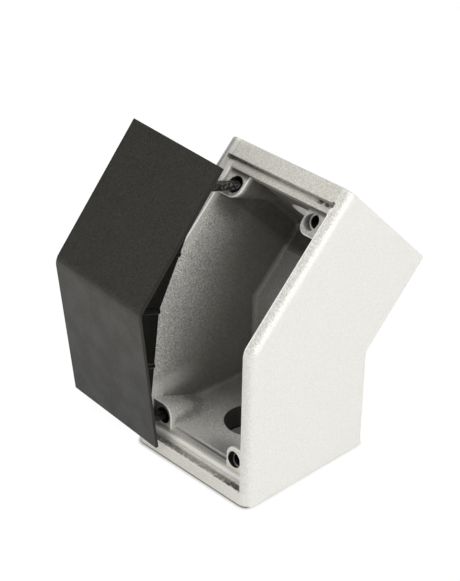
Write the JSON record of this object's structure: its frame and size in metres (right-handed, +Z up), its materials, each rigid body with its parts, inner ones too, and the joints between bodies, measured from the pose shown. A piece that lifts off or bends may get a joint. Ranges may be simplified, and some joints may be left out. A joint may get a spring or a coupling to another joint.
{
  "type": "corner bracket",
  "caption": "Hollow die-cast corner bracket for joining two slotted profiles at 45 degrees, with its push-in cover standing half off.",
  "frame": {"origin": "centre of the lower mounting face, on the axis of its bolt hole", "axes": "+Z up, away from the lower mounting face; +Y from the open front to the back; +X to the right seen from the front"},
  "size_m": [0.0688, 0.0732, 0.0815],
  "materials": {
    "powder_coat": "light grey fine-texture powder coat on die casting, rough bare edge at the ends of the recess",
    "cover_plastic": "dark grey moulded plastic, fine matte texture, glossier black pins"
  },
  "bodies": {
    "root": {"angle_housing": "powder_coat", "cover": "cover_plastic"}
  },
  "joints": []
}
